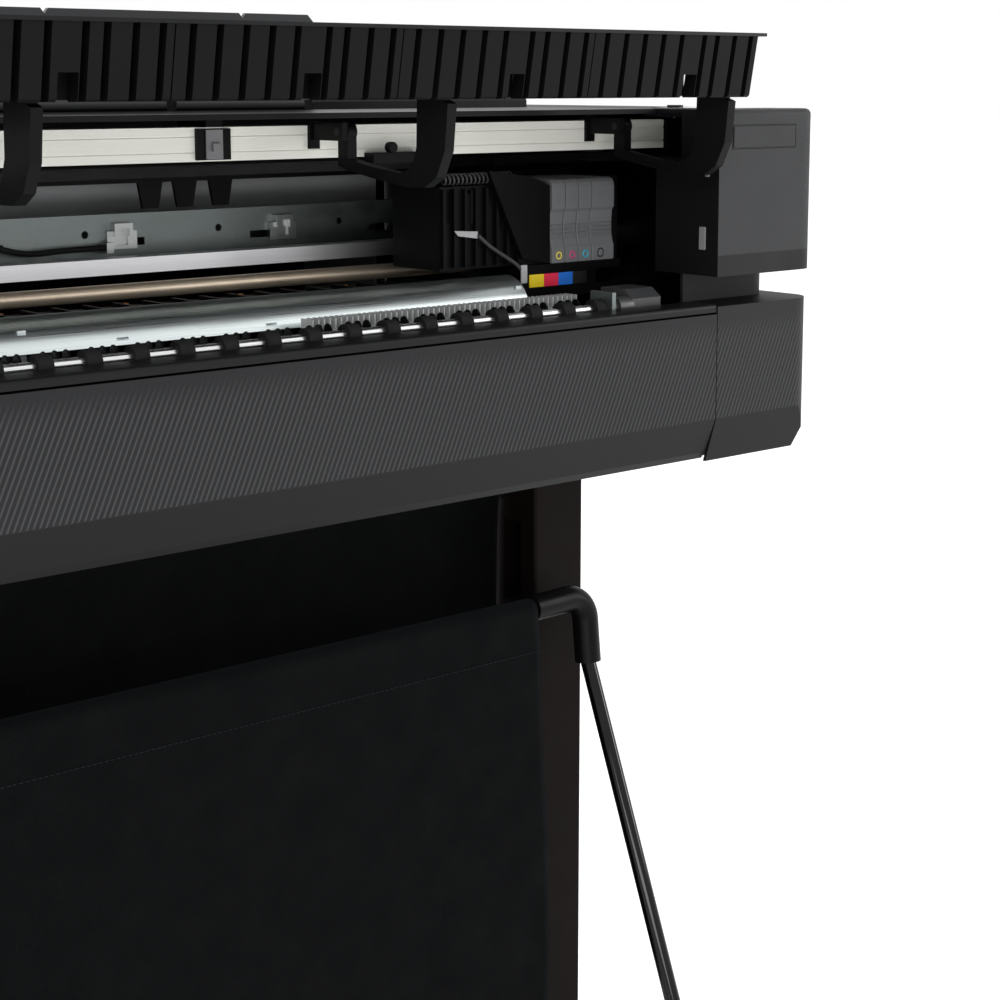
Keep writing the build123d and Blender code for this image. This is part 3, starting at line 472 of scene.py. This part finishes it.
def prism_data(outline, low, high):
    """Vertices and faces of a (y, z) outline extruded along X."""
    count = len(outline)
    vertices = [(x, y, z) for x in (low, high) for y, z in outline]
    faces = [(i, (i + 1) % count, count + (i + 1) % count, count + i) for i in range(count)]
    return vertices, faces + [tuple(reversed(range(count))), tuple(range(count, 2 * count))]


def box_data(x, y, z):
    """Vertices and faces of a box between the given x, y and z limits."""
    outline = [(y[0], z[0]), (y[1], z[0]), (y[1], z[1]), (y[0], z[1])]
    return prism_data(outline, *x)


def joined(shapes):
    """One vertex and face list out of several."""
    vertices, faces = [], []
    for more_vertices, more_faces in shapes:
        start = len(vertices)
        vertices += more_vertices
        faces += [tuple(start + index for index in face) for face in more_faces]
    return vertices, faces


def tube_data(points, radius, sides=10, capped=True):
    """Round tube through points, each given as a Vector."""
    vertices, faces = [], []
    reference = Vector((0.0, 0.0, 1.0))
    for index, point in enumerate(points):
        ahead = points[min(index + 1, len(points) - 1)] - points[max(index - 1, 0)]
        ahead.normalize()
        side = ahead.cross(reference)
        if side.length < 0.1:
            side = ahead.cross(Vector((1.0, 0.0, 0.0)))
        side.normalize()
        reference = side.cross(ahead).normalized()
        for step in range(sides):
            turn = 2 * math.pi * step / sides
            vertices.append(tuple(point + radius * (math.cos(turn) * side + math.sin(turn) * reference)))
    for ring in range(len(points) - 1):
        for step in range(sides):
            a, b = ring * sides + step, ring * sides + (step + 1) % sides
            faces.append((a, b, b + sides, a + sides))
    if capped:
        last = (len(points) - 1) * sides
        faces += [tuple(reversed(range(sides))), tuple(range(last, last + sides))]
    return vertices, faces


def helix(centre, axis, radius, length, turns, steps=14):
    """Points of a helix round a Z or X axis, starting at centre."""
    points = []
    count = int(turns * steps)
    for index in range(count + 1):
        turn = 2 * math.pi * index / steps
        along = length * index / count
        swing = (radius * math.cos(turn), radius * math.sin(turn))
        offset = (swing[0], swing[1], along) if axis == "Z" else (along, swing[0], swing[1])
        points.append(Vector(centre) + Vector(offset))
    return points


def ring_data(centre, radius, wire, steps=28, sides=8):
    """Torus facing the front, in the XZ plane."""
    vertices, faces = [], []
    for step in range(steps):
        turn = 2 * math.pi * step / steps
        for side in range(sides):
            swing = 2 * math.pi * side / sides
            reach = radius + wire * math.cos(swing)
            vertices.append((centre[0] + reach * math.cos(turn), centre[1] + 0.5 * wire * math.sin(swing),
                             centre[2] + reach * math.sin(turn)))
            a, b = step * sides + side, step * sides + (side + 1) % sides
            c, d = (step + 1) % steps * sides + (side + 1) % sides, (step + 1) % steps * sides + side
            faces.append((a, b, c, d))
    return vertices, faces


# ---- fine pieces --------------------------------------------------------------------------------
CARTRIDGES = (("yellow", 462.0, 15.0, (0.82, 0.68, 0.06)), ("magenta", 477.0, 15.0, (0.62, 0.04, 0.2)),
              ("cyan", 492.0, 15.0, (0.02, 0.42, 0.56)), ("black", 507.0, 26.0, (0.02, 0.02, 0.022)))


def cartridge_outline():
    """Side view of a cartridge: rounded top, step, hollowed grip, foot."""
    top = [(-41, 806.2), (-41, 875), (-98.5, 875), (-101.5, 874), (-103.4, 871.6), (-104.3, 868)]
    grip = [(-104.3, 850.5), (-103.2, 849.2), (-102.2, 848), (-101.4, 842), (-101.1, 836), (-101.3, 830),
            (-102, 825), (-103.2, 821)]
    return top + grip + [(-104.3, 818.5), (-104.3, 806.2)]


def add_cartridges():
    """Cartridges with a stepped hollow face, grip ribs, an embossed disc and a coloured ring."""
    grey = SHADERS["cartridge_grey"]
    slot = "cartridge_grey"
    for name, left, width, colour in CARTRIDGES:
        body = "cartridge_" + name
        low, high = left + 0.35, left + width - 0.35
        middle = left + width * (0.38 if width > 20 else 0.52)
        shape = prism_data(cartridge_outline(), low, high)
        piece = mesh_piece("ink_" + name, *shape, grey, body, slot, smooth=False)
        bevelled(piece, 0.7, 3)
        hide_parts(body)
        ribs = []
        for index in range(5):
            z = 822.5 + index * 3.4
            depth = -102.9 + 0.25 * abs(index - 2)
            ribs.append(box_data((low + 1.6, high - 1.6), (depth, -100.6), (z, z + 1.5)))
        grip = mesh_piece("grip_ribs_" + name, *joined(ribs), grey, body, slot, smooth=False)
        bevelled(grip, 0.35)
        disc = (middle, -104.3, 859.5)
        badge = joined([ring_data(disc, 3.0, 0.45), ring_data(disc, 1.5, 0.3)])
        mesh_piece("badge_" + name, *badge, grey, body, slot)
        ring = ring_data((middle, -104.4, 812.4), 2.7 if width < 20 else 3.4, 0.62)
        mesh_piece("ink_ring_" + name, *ring, ink_ring("ring_" + name, colour), body, "key_tiles")


def add_colour_key():
    """Four coloured tiles below the cartridges."""
    tiles = []
    left, pitch = 437, 16
    for index in range(4):
        x = left + index * pitch
        tiles.append(box_data((x, x + 15.6), (-105.2, -104), (788, 798.5)))
    piece = mesh_piece("colour_tiles", *joined(tiles), SHADERS["key_tiles"], "carriage", "key_tiles", False)
    bevelled(piece, 0.3)
    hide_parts("colour_key")


def add_springs():
    """Wound wire springs in front of the feed roller."""
    coils = []
    first, pitch, pairs = -492, 100, 9
    for pair in range(pairs):
        for shift in (-3, 3):
            path = helix((first + pair * pitch + shift, -25, 785.2), "Z", 1.6, 7.6, 6.5, 10)
            coils.append(tube_data(path, 0.42, 6))
    piece = mesh_piece("wound_springs", *joined(coils), SHADERS["copper_spring"], "root", "copper_spring")
    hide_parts("pinch_springs")


def add_carriage_details():
    """Spiral guard with its core, one blank label and a sloping stay with its end piece."""
    black, pale = SHADERS["black_plastic"], moulded("pale_label", (0.42, 0.42, 0.43), 0.5, spread=0.12)
    dark_grey = moulded("guard_grey", (0.06, 0.06, 0.062), 0.35)
    guard = tube_data(helix((357, -89, 877.5), "X", 4.0, 74, 17, 14), 0.85, 8)
    mesh_piece("spiral_guard", *guard, dark_grey, "carriage", "black_plastic")
    core = tube_data([Vector((x, -89, 877.5)) for x in range(354, 436, 8)], 2.2, 12)
    mesh_piece("guard_core", *core, black, "carriage", "black_plastic")
    corners = [(363, -98.6, 837.5), (387, -98.6, 836.0), (387, -98.6, 830.4), (367, -98.6, 833.2)]
    patch = mesh_piece("plain_label", corners, [(0, 1, 2, 3)], pale, "carriage", "grey_plastic", False)
    thick(patch, 0.4)
    stay_points = [Vector((387, -99.6, 833)), Vector((398, -100.6, 824)), Vector((413, -101.6, 815)),
                   Vector((424, -103.2, 808)), Vector((431, -103.8, 801))]
    stay = tube_data(smooth_path(stay_points), 1.5, 10)
    mesh_piece("sloping_stay", *stay, dark_grey, "carriage", "black_plastic")
    end_piece = box_data((428, 434.5), (-105.2, -103.8), (792, 807))
    end_cap = mesh_piece("stay_end", *end_piece, pale, "carriage", "grey_plastic", False)
    bevelled(end_cap, 0.5)


def thick(piece, depth):
    """Gives a flat patch its thickness in millimetres, on both sides."""
    modifier = piece.modifiers.new("thickness", "SOLIDIFY")
    modifier.thickness = depth * MM
    modifier.offset = 0.0
    return piece


def smooth_path(points, steps=6):
    """Catmull-Rom points through the given ones."""
    path = []
    padded = [points[0]] + list(points) + [points[-1]]
    for before, start, end, after in zip(padded, padded[1:], padded[2:], padded[3:]):
        for step in range(steps):
            t = step / steps
            square = (2 * before - 5 * start + 4 * end - after) * t * t
            cube = (3 * start - before - 3 * end + after) * t ** 3
            path.append(0.5 * ((2 * start) + (end - before) * t + square + cube))
    return path + [points[-1]]


def add_output_fingers():
    """Slim black paper fingers between the output rollers."""
    shapes = []
    right, pitch, gaps = 440, 34.3, 27
    outline = [(-172, 758), (-172, 776), (-171, 781), (-168.5, 784), (-165.5, 784.6), (-163, 783),
               (-162, 779), (-162, 758)]
    for gap in range(gaps):
        middle = right - (gap + 0.5) * pitch
        for shift in (-8, 0, 8):
            shapes.append(prism_data(outline, middle + shift - 0.9, middle + shift + 0.9))
    shapes.append(box_data((-478, 436), (-172, -162), (754, 758.5)))
    black = SHADERS["black_plastic"]
    piece = mesh_piece("output_fingers", *joined(shapes), black, "root", "black_plastic", False)
    bevelled(piece, 0.25, 1)


def add_front_label():
    """Blank raised plate on the right end housing, edged with thin black strips that are painted shade for a
    groove round it.
    """
    speckle = SHADERS["charcoal_speckle"]
    face = box_data((552, 626.5), (-220.7, -219), (901.5, 918.5))
    plate = mesh_piece("blank_plate", *face, speckle, "root", "charcoal_speckle", False)
    bevelled(plate, 0.5)
    sides = (((550.8, 551.4), (900.3, 919.7)), ((627.1, 627.7), (900.3, 919.7)),
             ((551.4, 627.1), (900.3, 900.9)), ((551.4, 627.1), (919.1, 919.7)))
    # Painted shade: thin black strips stand in for the shadowed groove round the plate.
    groove_shade = [box_data(x, (-220.15, -219), z) for x, z in sides]
    mesh_piece("plate_groove_shade", *joined(groove_shade), SHADERS["black_plastic"], "root", "black_plastic", False)


def add_inner_details():
    """Grey switch, latch and knobs seen inside the machine."""
    grey = moulded("switch_grey", (0.16, 0.16, 0.165), 0.4)
    black = SHADERS["black_plastic"]
    switch = mesh_piece("lid_switch", *box_data((534.6, 536), (-207, -200), (820, 838.5)), grey, "root",
                        "grey_plastic", False)
    bevelled(switch, 0.6)
    latch = mesh_piece("latch_tab", *box_data((533.8, 536), (-210.5, -206.5), (878.5, 886)), grey, "root",
                       "grey_plastic", False)
    bevelled(latch, 0.6)
    post = joined([box_data((133, 147), (-104.2, -102.6), (899.5, 920.5)),
                   box_data((137, 143), (-107, -104), (905, 911))])
    fitting = mesh_piece("post_plate", *post, grey, "root", "grey_plastic", False)
    bevelled(fitting, 0.5)
    knobs = []
    for x in (288.4, 319.4):
        knobs.append(tube_data([Vector((x, y, 905)) for y in (-112, -113, -117, -118)], 4.2, 20))
    knobs.append(box_data((274, 322), (-112, -100.2), (893, 901)))
    bracket = mesh_piece("knob_bracket", *joined(knobs), black, "root", "black_plastic", False)
    bevelled(bracket, 0.5)


def add_notch_shade():
    """Dark tabs behind the square notches of the lid's front wall, put there as painted shade."""
    tabs = []
    right, pitch, width = 525, 171.8, 170.8
    for index in range(6):
        left = right - index * pitch - width
        tabs.append(box_data((left + 93, left + 111), (-247.5, -245.5), (943, 961)))
    mesh_piece("notch_shade_tabs", *joined(tabs), SHADERS["black_plastic"], "lid", "black_plastic", False)


def add_vent_shade_sheets():
    """Dark sheets behind the rear vents and beside the neck, put there as painted shade so that no daylight
    shows through.
    """
    behind_vents = box_data((296, 491), (212.9, 214.3), (696, 764))
    beside_neck = box_data((533, 534.2), (188, 214.3), (773, 801))
    sheets = joined([behind_vents, beside_neck])
    mesh_piece("vent_shade_sheets", *sheets, SHADERS["black_plastic"], "root", "black_plastic", False)


# ---- bin fabric, in millimetres -----------------------------------------------------------------
BAR_FRONT, BAR_REAR, WRAP_R = (-125.0, 526.0), (-40.0, 625.0), 8.9   # bar centres as (y, z), and cloth radius
BAR_END_RIGHT, BAR_END_LEFT = 421.0, -516.0
LEG_RIGHT, LEG_LEFT = 455.0, -546.0


def wrap(centre, start, end, step):
    """Points on the cloth round a bar, between two angles in degrees from the back."""
    count = int(abs(end - start) / step)
    turns = [math.radians(start + (end - start) * index / count) for index in range(count + 1)]
    return [Vector((0, centre[0] + WRAP_R * math.cos(turn), centre[1] + WRAP_R * math.sin(turn)))
            for turn in turns]


def sling_path():
    """Side view of the cloth, from the hem of the front bar down, under and up to the hem of the rear bar."""
    front_hem = [(-136.0, 493), (-131.5, 502), (-122.5, 513)]
    panel = [(-134.6, 515), (-136.6, 494), (-139.5, 440), (-143, 385), (-146, 330), (-147.6, 265),
             (-147.6, 200), (-143, 175), (-134, 159.5), (-119, 149.5), (-100, 144.5), (-80, 147),
             (-63, 154.5), (-51, 168), (-43.5, 189), (-40, 240), (-38.5, 300), (-38.7, 400),
             (-40, 480), (-42, 560), (-45, 600)]
    rear_hem = [(-35, 610), (-40.5, 599)]
    points = [Vector((0, *point)) for point in front_hem] + wrap(BAR_FRONT, -30, 180, 30)
    points += [Vector((0, *point)) for point in panel] + wrap(BAR_REAR, 190, -20, 30)
    return smooth_path(points + [Vector((0, *point)) for point in rear_hem], 4)


def sling_side(share, side):
    """X of a side edge: the cloth widens up the back panel, from the bar's end to the leg."""
    widening = max(0.0, min(1.0, (share - 0.5) / 0.3))
    if side > 0:
        return BAR_END_RIGHT + (LEG_RIGHT - BAR_END_RIGHT) * widening
    return BAR_END_LEFT + (LEG_LEFT - BAR_END_LEFT) * widening


def sag(x, y, z, along):
    """How far the cloth leaves its plain shape, in millimetres: broad slackness and a few soft folds."""
    top = 494.0 if y < -90 else 600.0
    free = max(0.0, min(1.0, (top - z) / 70.0))
    broad = noise.noise(Vector((x * 0.0045, along * 0.004, 1.7)))
    folds = noise.noise(Vector((x * 0.021 + along * 0.006, along * 0.0035, 4.1)))
    creases = noise.noise(Vector((x * 0.05 + along * 0.02, along * 0.03, 8.3)))
    return free * (3.2 * broad + 1.5 * folds + 0.35 * creases)


def add_bin_fabric():
    """Cloth sling: one sheet, wrapped round both bars, with sewn hems."""
    path = sling_path()
    columns = 150
    lengths = [0.0]
    for before, after in zip(path, path[1:]):
        lengths.append(lengths[-1] + (after - before).length)
    vertices, faces = [], []
    for row, point in enumerate(path):
        ahead = (path[min(row + 1, len(path) - 1)] - path[max(row - 1, 0)]).normalized()
        share = lengths[row] / lengths[-1]
        low, high = sling_side(share, -1), sling_side(share, 1)
        for column in range(columns + 1):
            x = low + (high - low) * column / columns
            push = sag(x, point.y, point.z, lengths[row])
            vertices.append((x, point.y - push * ahead.z, point.z + push * ahead.y))
    for row in range(len(path) - 1):
        for column in range(columns):
            corner = row * (columns + 1) + column
            faces.append((corner, corner + 1, corner + columns + 2, corner + columns + 1))
    cloth = mesh_piece("bin_cloth", vertices, faces, SHADERS["bin_fabric"], "root", "bin_fabric")
    thick(cloth, 0.9)
    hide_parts("bin_fabric")
    thread = moulded("hem_thread", (0.012, 0.013, 0.015), 0.7, Specular_IOR_Level=0.1)
    seams = []
    stitches, left, pitch = 204, -510, 4.56
    for index in range(stitches):
        x = left + index * pitch
        seams.append(tube_data([Vector((x, -137.4, 493.6)), Vector((x + 1.5, -137.8, 493.4)),
                                Vector((x + 3.0, -137.4, 493.6))], 0.3, 6))
    hem = mesh_piece("hem_stitches", *joined(seams), thread, "root", "bin_fabric")


ROUNDED = (("lid_ribs", 0.8), ("lid_arms", 0.7), ("stand_legs", 0.8), ("lid_skin", 0.7), ("sheet_tray", 0.6))


def dress_cad(shaders):
    """Gives each CAD node the shader of its slot and rounds the edges of the plainest ones."""
    for part in frame["record"]["subparts"]:
        obj = bpy.data.objects.get(part["node"])
        if obj is None:
            continue
        obj.data.materials.clear()
        obj.data.materials.append(shaders[part["material_slot"]].material)
    own_shaders = {
        "left_base_cover": diagonal_relief(-1),
        # The chassis ends carry painted shade in black.
        "chassis": galvanised("zinc_chassis", True),
        "left_end_block": speckled("speckle_left", -1),
        "beam_clips": bright_metal("clip_steel", (0.42, 0.43, 0.43), 0.35),
        "platen_rail": bright_metal("plated_rail", (0.72, 0.78, 0.78), 0.3),
        "guide_bar": bright_metal("ground_bar", (0.86, 0.86, 0.88), 0.42),
        "sheet_tray": moulded("tray_grey", (0.04, 0.041, 0.043), 0.4),
    }
    for node, shader in own_shaders.items():
        bpy.data.objects[node].material_slots[0].material = shader.material
    for node, width in ROUNDED:
        bevelled(bpy.data.objects[node], width)


make_camera()
make_studio()
SHADERS = make_materials()
dress_cad(SHADERS)
add_cartridges()
add_colour_key()
add_springs()
add_carriage_details()
add_output_fingers()
add_front_label()
add_inner_details()
add_notch_shade()
add_vent_shade_sheets()
add_bin_fabric()
